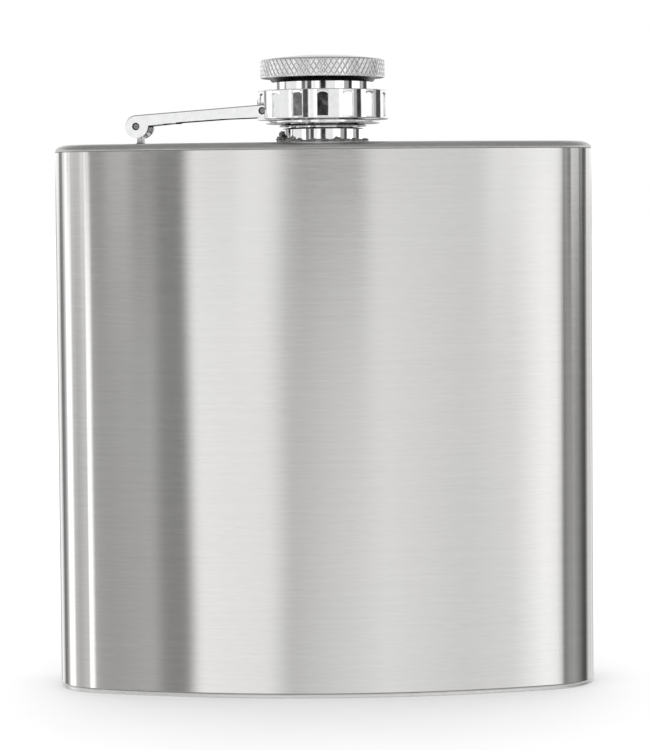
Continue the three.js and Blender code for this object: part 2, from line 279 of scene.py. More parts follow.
# The hinge's own frame, with u along the arm from the bracket's pin, Y along the pin and v up.
HINGE_Y = -Vector(JOINTS["arm_swing"]["axis"]).normalized()
HINGE_X = HINGE_Y.cross(Vector((0, 0, 1)))
HINGE_AT = Vector(JOINTS["arm_swing"]["pos_m"]) / MM
HINGE = Matrix.Translation(HINGE_AT) @ Matrix((HINGE_X, HINGE_Y, (0, 0, 1))).transposed().to_4x4()
EAR = HINGE.inverted() @ (Vector(JOINTS["collar_pivot"]["pos_m"]) / MM)
AXIS_U = (HINGE.inverted() @ Vector((NECK_X, NECK_Y, TOP))).x
PLATE_V = TOP - HINGE_AT.z


def side_plate(name, outline, thickness):
    """An outline in the hinge's X-Z plane, given thickness along the pin and centred on it."""
    half = thickness / 2
    rings = [[HINGE @ Vector((u, side, v)) for u, v in outline] for side in (-half, half)]
    return loft(name, rings, caps=True)


def hinge_bar(name, u, v, radius, length):
    """A round pin along the hinge's Y with softened ends."""
    edge, steps = 0.12, 40
    half = length / 2
    ends = [(radius - edge, -half), (radius, -half + edge), (radius, half - edge), (radius - edge, half)]
    last = TURN * (1 - 1 / steps)
    rings = [[HINGE @ Vector((a, y, b)) for a, b in arc(u, v, r, 0, last, steps - 1)] for r, y in ends]
    return loft(name, rings, caps=True)


# ---- Node helpers ----


def feed(tree, socket, value):
    """Links another socket to this one, or sets it to a number or to a colour of three numbers."""
    if isinstance(value, bpy.types.NodeSocket):
        tree.links.new(value, socket)
    elif isinstance(value, tuple):
        socket.default_value = (*value, 1)
    else:
        socket.default_value = value


def math_node(tree, operation, first, second):
    node = tree.nodes.new("ShaderNodeMath")
    node.operation = operation
    feed(tree, node.inputs[0], first)
    feed(tree, node.inputs[1], second)
    return node.outputs["Value"]


def map_range(tree, value, start, end, low=0, high=1, how="LINEAR"):
    """Maps start..end of a value onto low..high, and holds it there outside."""
    node = tree.nodes.new("ShaderNodeMapRange")
    node.interpolation_type = how
    node.inputs["From Min"].default_value = start
    node.inputs["From Max"].default_value = end
    node.inputs["To Min"].default_value = low
    node.inputs["To Max"].default_value = high
    tree.links.new(value, node.inputs["Value"])
    return node.outputs["Result"]


def blend_colors(tree, factor, first, second, how="MIX"):
    """first where the factor is 0 and second where it is 1. Each is a socket or a colour."""
    node = tree.nodes.new("ShaderNodeMix")
    node.data_type = "RGBA"
    node.blend_type = how
    color_sockets = [socket for socket in node.inputs if socket.type == "RGBA"]
    feed(tree, node.inputs["Factor"], factor)
    feed(tree, color_sockets[0], first)
    feed(tree, color_sockets[1], second)
    return next(socket for socket in node.outputs if socket.type == "RGBA")


def grey(level):
    return (level, level, level)


# ---- Materials ----


class Shader:
    """A principled material and the node shorthands that the recipes below use.

    color and roughness are the plain values that stand in wherever a recipe's nodes aren't read.
    """

    def __init__(self, name, color, metallic, roughness):
        self.material = bpy.data.materials.new(name)
        self.material.use_nodes = True
        self.tree = self.material.node_tree
        self.bsdf = self.tree.nodes["Principled BSDF"]
        self.bsdf.inputs["Base Color"].default_value = (*color, 1)
        self.bsdf.inputs["Metallic"].default_value = metallic
        self.bsdf.inputs["Roughness"].default_value = roughness
        self.coordinates = self.tree.nodes.new("ShaderNodeTexCoord").outputs["Object"]

    def noise(self, scale, detail, rough, distortion=0):
        """Noise over the object. scale is in features a metre, as one number or as one for each axis."""
        mapping = self.tree.nodes.new("ShaderNodeMapping")
        mapping.inputs["Scale"].default_value = scale if isinstance(scale, tuple) else (scale,) * 3
        texture = self.tree.nodes.new("ShaderNodeTexNoise")
        texture.inputs["Scale"].default_value = 1
        texture.inputs["Detail"].default_value = detail
        texture.inputs["Roughness"].default_value = rough
        texture.inputs["Distortion"].default_value = distortion
        self.tree.links.new(self.coordinates, mapping.inputs["Vector"])
        self.tree.links.new(mapping.outputs["Vector"], texture.inputs["Vector"])
        return texture.outputs["Fac"]

    def spread(self, value, low, high, start=0.3, end=0.7):
        """Maps start..end of a value onto low..high. The usual start and end are where noise mostly lies."""
        return map_range(self.tree, value, start, end, low, high)

    def sum(self, first, second):
        return math_node(self.tree, "ADD", first, second)

    def mix(self, factor, first, second, how="MIX"):
        return blend_colors(self.tree, factor, first, second, how)

    def height(self):
        """The height over the flask's base with every joint at rest, in metres."""
        node = self.tree.nodes.new("ShaderNodeSeparateXYZ")
        self.tree.links.new(self.coordinates, node.inputs["Vector"])
        return node.outputs["Z"]

    def above(self, level):
        """0 below a level in millimetres, and 1 from a tenth of a millimetre over it."""
        return self.spread(self.height(), 0, 1, level * MM, (level + 0.1) * MM)

    def edges(self, start, end):
        """Rises from 0 to 1 between two values of pointiness, which is 0.5 on a flat and more on an edge."""
        node = self.tree.nodes.new("ShaderNodeNewGeometry")
        return self.spread(node.outputs["Pointiness"], 0, 1, start, end)

    def shaded_gaps(self, color, reach, shade_color):
        """Paints shade into gaps: darkens a colour towards the shade colour where ambient occlusion finds
        gaps. reach is how many millimetres off a gap is felt.
        """
        node = self.tree.nodes.new("ShaderNodeAmbientOcclusion")
        node.samples = 8
        node.inputs["Distance"].default_value = reach * MM
        openness = self.spread(node.outputs["AO"], 0, 1, 0.1, 0.5)
        return self.mix(openness, shade_color, color)

    def color(self, value):
        self.tree.links.new(value, self.bsdf.inputs["Base Color"])

    def roughness(self, value):
        self.tree.links.new(value, self.bsdf.inputs["Roughness"])

    def bump(self, value, depth):
        """depth is the height in millimetres of a full step of the value."""
        node = self.tree.nodes.new("ShaderNodeBump")
        node.inputs["Strength"].default_value = 1
        node.inputs["Distance"].default_value = depth * MM
        self.tree.links.new(value, node.inputs["Height"])
        self.tree.links.new(node.outputs["Normal"], self.bsdf.inputs["Normal"])

    def grain(self, layer, amount):
        """Stretches highlights across the brushing. The layer's U runs across it."""
        node = self.tree.nodes.new("ShaderNodeTangent")
        node.direction_type = "UV_MAP"
        node.uv_map = layer
        self.bsdf.inputs["Anisotropic"].default_value = amount
        self.tree.links.new(node.outputs["Tangent"], self.bsdf.inputs["Tangent"])


def brushed_steel():
    """Belt-brushed steel: long fine scratches along X and Y, and faint cloudy tints from polishing."""
    shader = Shader("brushed_steel", (0.72, 0.715, 0.70), 1, 0.3)
    fine = shader.noise((380, 380, 7500), 4, 0.65)
    broad = shader.noise((45, 45, 2200), 3, 0.6)
    cloud = shader.noise((34, 34, 26), 2, 0.5)
    streaks = shader.sum(shader.spread(fine, 0, 0.7), shader.spread(broad, 0, 0.3))
    brushed = shader.mix(streaks, (0.69, 0.685, 0.678), (0.77, 0.765, 0.757))
    tint = shader.mix(shader.spread(cloud, 0, 1), (0.775, 0.745, 0.74), (0.735, 0.75, 0.735))
    shader.color(shader.mix(0.35, brushed, tint, "MULTIPLY"))
    shader.roughness(shader.spread(streaks, 0.1, 0.13, 0, 1))
    shader.bump(streaks, 0.0012)
    shader.grain("grain", 1)
    return shader.material


def plate_steel():
    """The pressed plates, brushed along X only and a little duller."""
    shader = Shader("plate_steel", (0.7, 0.69, 0.68), 1, 0.34)
    fine = shader.noise((90, 5200, 5200), 4, 0.6)
    cloud = shader.noise(60, 3, 0.5)
    streaks = shader.sum(shader.spread(fine, 0, 0.7), shader.spread(cloud, 0, 0.3))
    shader.color(shader.mix(streaks, (0.62, 0.615, 0.605), (0.84, 0.835, 0.825)))
    shader.roughness(shader.spread(streaks, 0.28, 0.42, 0, 1))
    shader.bump(streaks, 0.004)
    return shader.material


def chrome():
    """Bright plating over turned metal, with faint handling marks and painted shade in the gaps."""
    shader = Shader("bright_chrome", (0.86, 0.87, 0.88), 1, 0.05)
    marks = shader.noise(900, 4, 0.6, 0.5)
    ripple = shader.noise(260, 2, 0.5)
    plating = shader.mix(shader.spread(marks, 0, 1), (0.84, 0.845, 0.85), (0.93, 0.93, 0.935))
    # Painted shade: the plating darkens towards near-black in gaps and crevices.
    shader.color(shader.shaded_gaps(plating, 1.1, grey(0.08)))
    shader.roughness(shader.spread(marks, 0.03, 0.09))
    shader.bump(ripple, 0.008)
    return shader.material


def dark_reflection_chrome():
    """Plating with painted dark reflections: its edges are coloured near-black."""
    shader = Shader("dark_reflection_chrome", grey(0.8), 1, 0.12)
    marks = shader.noise(900, 4, 0.6, 0.5)
    plating = shader.mix(shader.spread(marks, 0, 1), grey(0.8), grey(0.9))
    # Painted reflection: edges, found by pointiness, are coloured near-black where the bracket's stem would
    # mirror dark.
    shader.color(shader.mix(shader.edges(0.5, 0.54), plating, grey(0.1)))
    shader.roughness(shader.spread(marks, 0.08, 0.2))
    shader.bump(marks, 0.01)
    return shader.material


def pin_steel():
    """The cut ends of the pins: grey, fine-grained and dull."""
    shader = Shader("pin_steel", grey(0.3), 1, 0.4)
    grain = shader.noise(2600, 3, 0.6)
    shader.color(shader.mix(shader.spread(grain, 0, 1), grey(0.2), grey(0.42)))
    shader.roughness(shader.spread(grain, 0.3, 0.55))
    shader.bump(grain, 0.02)
    return shader.material


def knurled():
    """Satin plated metal: a knurl that is darker in its valleys and lighter on its crests, a plain dome and
    painted shade on the underside.
    """
    shader = Shader("knurled_metal", grey(0.7), 1, 0.2)
    marks = shader.noise(1500, 4, 0.6)
    clouds = shader.noise(300, 3, 0.6)
    # The knurl is darker in its valleys and lighter on its crests, by pointiness.
    band = shader.mix(shader.edges(0.46, 0.54), grey(0.62), grey(0.97))
    dome = shader.mix(shader.spread(clouds, 0, 1), grey(0.84), grey(0.9))
    outside = shader.mix(shader.above(HEAD_LOW.z + KNURL_HIGH + 0.1), band, dome)
    # Painted shade: the head below this height is coloured near-black, for the shade under its rim.
    shader.color(shader.mix(shader.above(HEAD_LOW.z + HEAD_SHADE_TOP), grey(0.07), outside))
    shader.roughness(shader.spread(marks, 0.1, 0.26))
    shader.bump(marks, 0.01)
    return shader.material


def weld_metal():
    """Rough, heat-darkened weld with a few bright drops."""
    shader = Shader("weld_metal", (0.3, 0.29, 0.28), 1, 0.5)
    lumps = shader.noise(1600, 5, 0.65)
    heat = shader.noise(500, 3, 0.5)
    shader.color(shader.mix(shader.spread(heat, 0, 1), (0.13, 0.127, 0.123), (0.5, 0.49, 0.475)))
    shader.roughness(shader.spread(lumps, 0.2, 0.5))
    shader.bump(lumps, 0.12)
    return shader.material


def seal():
    """A pale soft sealing disc with a fine mottle."""
    shader = Shader("seal", (0.8, 0.79, 0.75), 0, 0.6)
    mottle = shader.noise(1200, 4, 0.6)
    shader.color(shader.mix(shader.spread(mottle, 0, 1), (0.72, 0.7, 0.65), (0.84, 0.83, 0.79)))
    shader.roughness(shader.spread(mottle, 0.5, 0.7))
    shader.bump(mottle, 0.02)
    return shader.material


MATERIALS = {
    "body_steel": brushed_steel(),
    "plate": plate_steel(),
    "bright_chrome": chrome(),
    "dark_reflection_chrome": dark_reflection_chrome(),
    "pin_steel": pin_steel(),
    "knurled_metal": knurled(),
    "weld_metal": weld_metal(),
    "seal": seal(),
}


def place(piece, body, slot, *nodes, material=None):
    """Gives a finished piece its material and its body, and hides the CAD nodes that it stands for."""
    piece.data.materials.clear()
    piece.data.materials.append(MATERIALS[material or slot])
    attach(piece, body)
    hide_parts(*nodes)


# ---- Body ----


def plan_outline(inset):
    """The body's kidney-shaped outline, moved inwards."""
    corner = CORNER_RADIUS - inset
    front_at = FRONT_RADIUS - CORNER_RADIUS
    back_at = BACK_RADIUS + CORNER_RADIUS
    end = END_ANGLE
    across, deep = math.sin(end), math.cos(end)
    quarter = math.pi / 2
    front_steps, rear_steps, corner_steps = 110, 90, 26
    front_y = PLAN_CENTRE_Y - front_at * deep
    rear_y = PLAN_CENTRE_Y - back_at * deep
    points = arc(0, PLAN_CENTRE_Y, FRONT_RADIUS - inset, -quarter - end, -quarter + end, front_steps)
    points += arc(front_at * across, front_y, corner, -quarter + end, end, corner_steps)[1:]
    points += arc(back_at * across, rear_y, corner, end, quarter + end, corner_steps)
    points += arc(0, PLAN_CENTRE_Y, BACK_RADIUS + inset, -quarter + end, -quarter - end, rear_steps)[1:]
    points += arc(-back_at * across, rear_y, corner, quarter - end, math.pi - end, corner_steps)[1:]
    points += arc(-front_at * across, front_y, corner, math.pi - end, 3 * quarter - end, corner_steps)[:-1]
    return points


def plan_rings(profile):
    """Rings of the body's outline for (inset, height) pairs."""
    return [[(x, y, height) for x, y in plan_outline(inset)] for inset, height in profile]


def grain_layer(piece):
    """A UV layer whose U runs up the wall and whose V runs round it, for the brushing's tangent."""
    layer = piece.data.uv_layers.new(name="grain")
    for loop in piece.data.loops:
        x, y, z = piece.data.vertices[loop.vertex_index].co / MM
        angle = math.atan2(x, PLAN_CENTRE_Y - y)
        layer.data[loop.index].uv = (z / 100, angle + (y - NECK_Y) / 400)


def dented(point):
    """Sheet metal is never quite flat: a shallow slow wave along the body's depth, gone at the two edges."""
    x, y, z = point
    wave = noise.noise(Vector((x / 26, y / 40, z / 38)), noise_basis="PERLIN_ORIGINAL")
    fade = min(1, (z - SHELL_LOW.z) / 8, (SHELL_HIGH.z - z) / 8)
    return (x, y + DENT_DEPTH * (wave - 0.7) * max(0, fade), z)


def body_shell():
    """The wall, which runs a little way past the frame's wall to meet the seams of both plates."""
    edge, margin, rows = 0.08, 1, 36
    foot, high = SHELL_LOW.z - SEAM_BOTTOM, SHELL_HIGH.z + SEAM_TOP
    first, last = SHELL_LOW.z + margin, high - margin
    below = plan_rings([(WALL, foot), (edge, foot), (0, foot + edge)])
    rows_between = plan_rings([(0, first + (last - first) * i / rows) for i in range(rows + 1)])
    above = plan_rings([(0, high - edge), (edge, high), (WALL, high)])
    rings = below + [[dented(point) for point in ring] for ring in rows_between] + above
    piece = loft("shell", rings, 30, closed=True)
    grain_layer(piece)
    place(piece, "flask", "body_steel", "body_shell")


def neck_hole(radius):
    """A round cutter on the neck's axis, right through the top plate."""
    rings = [circle(radius, height, 96) for height in (-6, 6)]
    return loft("cutter", rings, caps=True)


def top_plate():
    base = TOP - RIM_DROP
    steps = 8
    rim = [i / steps * math.pi / 2 for i in range(steps + 1)]
    outside = [(RIM_WIDTH * (1 - math.cos(t)), base + RIM_DROP * math.sin(t)) for t in rim]
    inside = [(WALL + RIM_WIDTH * (1 - math.cos(t)), base + (RIM_DROP - WALL) * math.sin(t)) for t in rim]
    piece = loft("top_cover", plan_rings(inside[::-1] + outside), 50, caps=True)
    cut(piece, neck_hole(NECK_FOOT + 0.2))
    place(piece, "flask", "body_steel", "top_plate", material="plate")


def bottom_plate():
    edge = 0.22
    profile = [(edge, 0), (0.07, 0.07), (0.02, edge), (0.02, WALL - 0.06), (0.12, WALL + 0.06)]
    piece = loft("base_cover", plan_rings(profile), 50, caps=True)
    place(piece, "flask", "body_steel", "bottom_plate", material="plate")


# ---- Neck and cap ----


def thread_rings(root, crest, low, high, steps):
    """Rings of a rounded helical thread between two heights, fading out at both ends."""
    rows = round((high - low) / THREAD_PITCH * THREAD_ROWS_PER_TURN)
    rings = []
    for i in range(rows + 1):
        height = low + (high - low) * i / rows
        fade = max(0, min(1, (height - low) / THREAD_FADE, (high - height) / THREAD_FADE))

        def radius(angle, height=height, fade=fade):
            wave = 0.5 + 0.5 * math.cos(TURN * (height / THREAD_PITCH) - angle)
            return root + (crest - root) * fade * wave ** 0.8

        rings.append(circle(radius, height, steps))
    return rings


def neck():
    steps = 128
    below = NECK_LOW.z - TOP
    plain = [(NECK_BORE, NECK_TOP - 0.25), (NECK_BORE, below), (NECK_FOOT, below)]
    plain += [(NECK_FOOT, NECK_FOOT_TOP - 0.25), (NECK_FOOT - 0.2, NECK_FOOT_TOP - 0.05)]
    plain += [(NECK_ROOT, NECK_FOOT_TOP + 0.1)]
    lip = [(NECK_ROOT - 0.15, NECK_TOP - 0.05), (NECK_ROOT - 0.3, NECK_TOP), (NECK_BORE + 0.25, NECK_TOP)]
    rings = [circle(r, h, steps) for r, h in plain]
    rings += thread_rings(NECK_ROOT, NECK_CREST, NECK_FOOT_TOP + 0.3, NECK_TOP - 0.35, steps)
    rings += [circle(r, h, steps) for r, h in lip]
    place(loft("spout", rings, 40, closed=True), "flask", "bright_chrome", "neck")


def neck_weld():
    """A ragged ring of weld round the neck's foot, with a jagged run up the side that faces the hinge."""
    steps, rows = 420, 26
    run_at, run_width = math.radians(194), 0.2
    inner = NECK_FOOT + 0.02
    lowest = 0.02
    rings = []
    for j in range(rows + 1):
        ring = []
        for i in range(steps):
            angle = TURN * i / steps
            around = Vector((math.cos(angle), math.sin(angle), 0))
            run = math.exp(-((math.remainder(angle - run_at, TURN) / run_width) ** 2))
            peaks = max(0, noise.noise(around * 9 + Vector((0, 0, 5)))) ** 2
            tall = 0.5 + 1.25 * run + 1.6 * peaks + 0.25 * noise.noise(around * 4)
            wide = 0.85 + 0.3 * noise.noise(around * 6 + Vector((0, 0, 7)))
            bend = j / rows * math.pi / 2
            out = inner + wide * math.cos(bend)
            up = lowest + tall * math.sin(bend)
            spot = Vector((out * around.x, out * around.y, up))
            rough = (0.2 + 0.25 * run) * noise.noise(spot * 2.3) + 0.14 * noise.noise(spot * 6.1)
            # The bead's two edges stay where they are, and only the skin between them is rough.
            rough *= math.sin(2 * bend)
            ring.append(Vector((NECK_X, NECK_Y, TOP + max(lowest, up + rough))) + around * (out + rough))
        rings.append(ring)
    rings.append(circle(inner, lowest, steps))
    place(loft("neck_weld_bead", rings, 70, closed=True), "flask", "weld_metal", "neck_weld")


def cap_sleeve():
    steps = 128
    low, top = SLEEVE_LOW.z - TOP, SLEEVE_HIGH.z - TOP
    roof = top - 0.9
    shoulder = top - 2.5
    inner = [(CORE, roof), (SLEEVE_ROOT, roof), (SLEEVE_ROOT, roof - 1.3)]
    thread = thread_rings(SLEEVE_ROOT, SLEEVE_CREST, low + 0.7, roof - 1.5, steps)
    lip = LIP_RADIUS - 0.08
    outer = [
        (SLEEVE_ROOT, low + 0.3), (SLEEVE_ROOT + 0.25, low), (lip, low), (LIP_RADIUS, low + 0.08),
        (lip, low + 0.16), (SLEEVE_OUTSIDE, low + 0.42), (SLEEVE_OUTSIDE, shoulder),
        (SHANK_RADIUS - 0.1, shoulder), (SHANK_RADIUS, shoulder + 0.1), (SHANK_RADIUS, top - 0.1),
        (SHANK_RADIUS - 0.1, top), (CORE, top),
    ]
    rings = [circle(r, h, steps) for r, h in inner] + thread[::-1] + [circle(r, h, steps) for r, h in outer]
    place(loft("sleeve", rings, 40, caps=True), "cap", "bright_chrome", "cap_sleeve")


def cap_gasket():
    """A disc with the groove that the neck's rim has pressed into it."""
    low, high = (corner.z - TOP for corner in box_mm("cap_gasket"))
    radius = SLEEVE_CREST - 0.15
    rim = (NECK_BORE + NECK_ROOT) / 2
    profile = [(CORE, low), (rim - 0.6, low), (rim - 0.45, low + 0.12), (rim + 0.35, low + 0.12)]
    profile += [(rim + 0.5, low), (radius - 0.1, low), (radius, low + 0.1), (radius, high), (CORE, high)]
    place(turned("sealing_disc", profile), "cap", "seal", "cap_gasket")


def retaining_washer():
    low, high = WASHER_LOW.z - TOP, WASHER_HIGH.z - TOP
    outside = WASHER_HIGH.x - NECK_X
    hole = SLEEVE_OUTSIDE + 0.1
    edge = 0.1
    profile = [
        (hole + edge, low), (outside - 0.2, low), (outside - 0.05, low + 0.06), (outside, low + 0.2),
        (outside - 0.05, high - 0.06), (outside - 0.2, high), (hole + edge, high), (hole, high - edge),
        (hole, low + edge),
    ]
    place(turned("washer", profile, closed=True), "cap", "bright_chrome", "retaining_washer")


def knurl(angle, height):
    """0 at a groove's floor and 1 on a crest, for grooves that slant both ways."""
    along = KNURL_LINES * angle / TURN
    rise = height * math.tan(KNURL_SLANT) * KNURL_LINES / (TURN * (HEAD_HIGH.x - NECK_X))
    left, right = (1 - abs(2 * (groove % 1) - 1) for groove in (along + rise, along - rise))
    return min(1, KNURL_STEEPNESS * min(left, right))


def cap_head():
    steps = KNURL_LINES * 16
    radius = HEAD_HIGH.x - NECK_X
    low = HEAD_LOW.z - TOP
    band_low, band_high = low + KNURL_LOW, low + KNURL_HIGH
    rim_high = band_high + 0.2
    under = [(CORE, low - 0.28), (SHANK_RADIUS, low - 0.28), (SHANK_RADIUS + 0.1, low - 0.2)]
    under += [(SHANK_RADIUS + 0.5, low + 0.28), (radius - 0.25, low + 0.4), (radius - 0.1, low + 0.45)]
    rings = [circle(r, h, steps) for r, h in under]
    rows, dome_rows = 44, 12
    for i in range(rows + 1):
        height = band_low + (band_high - band_low) * i / rows
        fade = min(1, i / 1.5, (rows - i) / 1.5)

        def profile(angle, height=height, fade=fade):
            groove = KNURL_DEPTH * (1 - knurl(angle, height - band_low)) * (0.35 + 0.65 * fade)
            return radius - groove - 0.1 * (1 - fade)

        rings.append(circle(profile, height, steps))
    rings.append(circle(radius - 0.3, rim_high - 0.06, steps))
    rings.append(circle(radius - 0.42, rim_high, steps))
    dome_radius = radius - 0.6
    dome = HEAD_HIGH.z - TOP - rim_high
    for i in range(dome_rows + 1):
        out = 1 - i / dome_rows
        rings.append(circle(max(CORE, dome_radius * out), rim_high + dome * (1 - out ** 2), steps))
    place(loft("knurled_head", rings, 28, caps=True), "cap", "knurled_metal", "cap_head")


# ---- Collar ----


def flute_cutter(angle):
    """A block that cuts one flat-bottomed grip flute, with an arched upper end."""
    half = FLUTE_WIDTH / 2
    low = COLLAR_LOW.z - TOP + FLUTE_ENDS[0]
    high = COLLAR_HIGH.z - TOP - FLUTE_ENDS[1]
    outline = [(-half, low), (half, low)]
    outline += [(x, high - half / 2 + rise / 2) for x, rise in arc(0, 0, half, 0, math.pi, 14)]
    turn = Matrix.Translation((NECK_X, NECK_Y, TOP)) @ Matrix.Rotation(angle, 4, "Z")
    inner, outer = COLLAR_RADIUS - FLUTE_DEPTH, COLLAR_RADIUS + 2
    rings = [[turn @ Vector((out, x, height)) for x, height in outline] for out in (inner, outer)]
    return loft("cutter", rings, caps=True)


def ear_cutters():
    """The pin's hole, a slot for each ear of the arm and a flat beside each slot."""
    turn = Matrix.Translation((NECK_X, NECK_Y, TOP)) @ HINGE.to_3x3().to_4x4()
    lug = ARM_WIDTH / 2 - ARM_SHEET - EAR_GAP_INSIDE
    slot = ARM_WIDTH / 2 + EAR_GAP
    start, bottom = -20, 2
    ceiling = HINGE_AT.z - TOP + EAR.z + EAR_RADIUS + EAR_GAP
    flat_end = EAR.x - AXIS_U + EAR_RADIUS
    cutters = [hinge_bar("cutter", EAR.x, EAR.z, PIN_HOLE, ARM_WIDTH)]
    for side in (-1, 1):
        near, far = sorted((side * lug, side * slot))
        cutters.append(box_cutter((start, near, bottom), (flat_end + EAR_GAP, far, ceiling), turn))
        near, far = sorted((side * (slot - 0.1), side * COLLAR_FLAT_WIDTH))
        cutters.append(box_cutter((start, near, bottom), (flat_end, far, ceiling), turn))
    return cutters


def collar():
    low, high = COLLAR_LOW.z - TOP, COLLAR_HIGH.z - TOP
    shank = SHANK_RADIUS + 0.25
    bore = SLEEVE_OUTSIDE + 0.4
    step_height = SLEEVE_HIGH.z - TOP - COLLAR_STEP
    edge = 0.12
    profile = [(bore, low + 0.1), (bore + 0.1, low), (COLLAR_RADIUS - edge, low), (COLLAR_RADIUS, low + edge)]
    profile += [(COLLAR_RADIUS, high - edge), (COLLAR_RADIUS - edge, high), (shank + 0.1, high)]
    profile += [(shank, high - 0.1), (shank, step_height), (bore, step_height)]
    piece = turned("captive_collar", profile, steps=360, closed=True)
    flutes = [flute_cutter(TURN * i / FLUTES - TURN / 4) for i in range(FLUTES)]
    cut(piece, *flutes, *ear_cutters())
    soften(piece, 0.05, 2, 42)
    place(piece, "collar", "bright_chrome", "collar")


# ---- Hinge ----


def bracket():
    """A round knuckle for the pin on a thin stem."""
    foot = PLATE_V + 0.02
    near, far = STEM_MIDDLE - STEM / 2, STEM_MIDDLE + STEM / 2
    start = math.asin(far / KNUCKLE_RADIUS) - math.pi / 2
    end = 1.5 * math.pi + math.asin(near / KNUCKLE_RADIUS)
    outline = [(near, foot), (far, foot)] + arc(0, 0, KNUCKLE_RADIUS, start, end, 48)
    piece = side_plate("hinge_knuckle", outline, KNUCKLE_WIDTH)
    cut(piece, hinge_bar("cutter", 0, 0, PIN_HOLE, KNUCKLE_WIDTH + 2))
    waist = -KNUCKLE_RADIUS - 0.2
    cutters = []
    for side in (-1, 1):
        near, far = sorted((side * STEM_WIDTH / 2, side * KNUCKLE_WIDTH))
        cutters.append(box_cutter((-2, near, foot - 1), (2, far, waist), HINGE))
    cut(piece, *cutters)
    soften(piece, 0.2, 3)
    place(piece, "flask", "bright_chrome", "hinge_bracket", material="dark_reflection_chrome")


def bracket_weld():
    """A low lumpy fillet round the foot of the bracket."""
    steps, rows = 90, 14
    size = 0.3
    rings = []
    for j in range(rows + 1):
        ring = []
        for i in range(steps):
            angle = TURN * i / steps
            bend = j / rows * math.pi / 2
            lump = size * (1 + 0.3 * noise.noise(Vector((4 * math.cos(angle), 4 * math.sin(angle), 4))))
            across = STEM / 2 + lump * math.cos(bend)
            along = STEM_WIDTH / 2 + lump * math.cos(bend)
            # A superellipse's factor, which makes the ring follow the stem's square section.
            square = (math.cos(angle) ** 4 + math.sin(angle) ** 4) ** -0.25
            u = STEM_MIDDLE + across * square * math.cos(angle)
            up = PLATE_V + 0.01 + lump * math.sin(bend)
            ring.append(HINGE @ Vector((u, along * square * math.sin(angle), up)))
        rings.append(ring)
    piece = loft("bracket_weld_bead", rings, 70, caps=True)
    half, side = STEM / 2 + 0.02, STEM_WIDTH / 2 + 0.02
    stem = box_cutter((STEM_MIDDLE - half, -side, -4), (STEM_MIDDLE + half, side, 2), HINGE)
    cut(piece, stem, sharp_degrees=70)
    place(piece, "flask", "weld_metal", "bracket_weld")


def arm_outline():
    """The arm from the side: a round eye at the bracket's pin, a slim bar and a round ear at the collar."""
    web_top = EAR.z + EAR_RADIUS
    rise = math.atan2(web_top - ARM_EYE, EAR.x)
    quarter = math.pi / 2
    outline = arc(0.06, 0, ARM_EYE, quarter + rise, 4 * quarter + 0.06, 72)
    # The underside, nearly straight, with a small step where the eye's cheek ends.
    outline += [(5.6, 0.47), (7.05, 0.5), (7.15, 0.64), (EAR.x - 7, 1.14)]
    outline += arc(EAR.x, EAR.z, EAR_RADIUS, -quarter, quarter, 24)
    return outline


def arm():
    """A channel that is open below, and open at both ends for the bracket's knuckle and the collar's lug."""
    web_start = 2.4
    web_end = AXIS_U - COLLAR_RADIUS - 0.6
    slope = (EAR.z + EAR_RADIUS - ARM_EYE) / EAR.x
    web_low, web_high = (ARM_EYE + slope * u - ARM_SHEET for u in (web_start, web_end))
    left, right, bottom, top = -5, AXIS_U, -5, 7
    hollow = [(left, bottom), (right, bottom), (right, top), (web_end, top), (web_end, web_high)]
    hollow += [(web_start, web_low), (web_start, top), (left, top)]
    piece = side_plate("arm_channel", arm_outline(), ARM_WIDTH)
    soften(piece, ARM_ROUNDING, 3, lowest=0.15, clamp=False)
    cutters = [side_plate("cutter", hollow, ARM_WIDTH - 2 * ARM_SHEET)]
    cutters += [hinge_bar("cutter", u, v, PIN_HOLE, ARM_WIDTH + 2) for u, v in ((0, 0), (EAR.x, EAR.z))]
    cut(piece, *cutters)
    even_shading(piece)
    place(piece, "arm", "bright_chrome", "arm")


def pins():
    length = ARM_WIDTH - 2 * PIN_RECESS
    bracket_pin = hinge_bar("bracket_rivet", 0, 0, PIN_RADIUS, length)
    place(bracket_pin, "flask", "bright_chrome", "bracket_pin", material="pin_steel")
    collar_pin = hinge_bar("collar_rivet", EAR.x, EAR.z, PIN_RADIUS, length)
    place(collar_pin, "arm", "bright_chrome", "collar_pin", material="pin_steel")


# ---- Studio ----

# Brightness of the studio round the flask by compass angle: 0 is towards the camera, positive to its right.
# Each half has its own colour ramp, which takes 32 stops at most, so a list needs stops at -180, 0 and 180.
WALLS = [
    (-180, 0.3), (-163, 0.35), (-153, 1.0), (-143, 1.3), (-136, 0.9), (-127, 0.2), (-118, 0.35),
    (-110, 0.85), (-105, 1.8), (-93, 1.8), (-86, 0.75), (-73, 0.6), (-57, 0.75), (-51, 0.82), (-49.6, 1.8),
    (-44.3, 1.8), (-43.3, 0.5), (-39, 0.47), (-31.8, 0.57), (-29.4, 0.33), (-25.5, 0.32), (-23.2, 1.2),
    (-10.5, 1.1), (-6.5, 0.73), (0, 0.87), (11, 1.04), (25, 0.9), (34, 0.97), (40.5, 1.35), (43, 1.25),
    (43.5, 0.85), (44, 1.2), (45.5, 0.7), (51, 0.28), (64, 0.42), (76, 0.45), (84, 0.36), (94, 0.24),
    (104, 0.11), (113, 0.1), (120, 0.5), (128, 1.0), (134, 0.8), (148, 1.0), (164, 0.5), (180, 0.3),
]
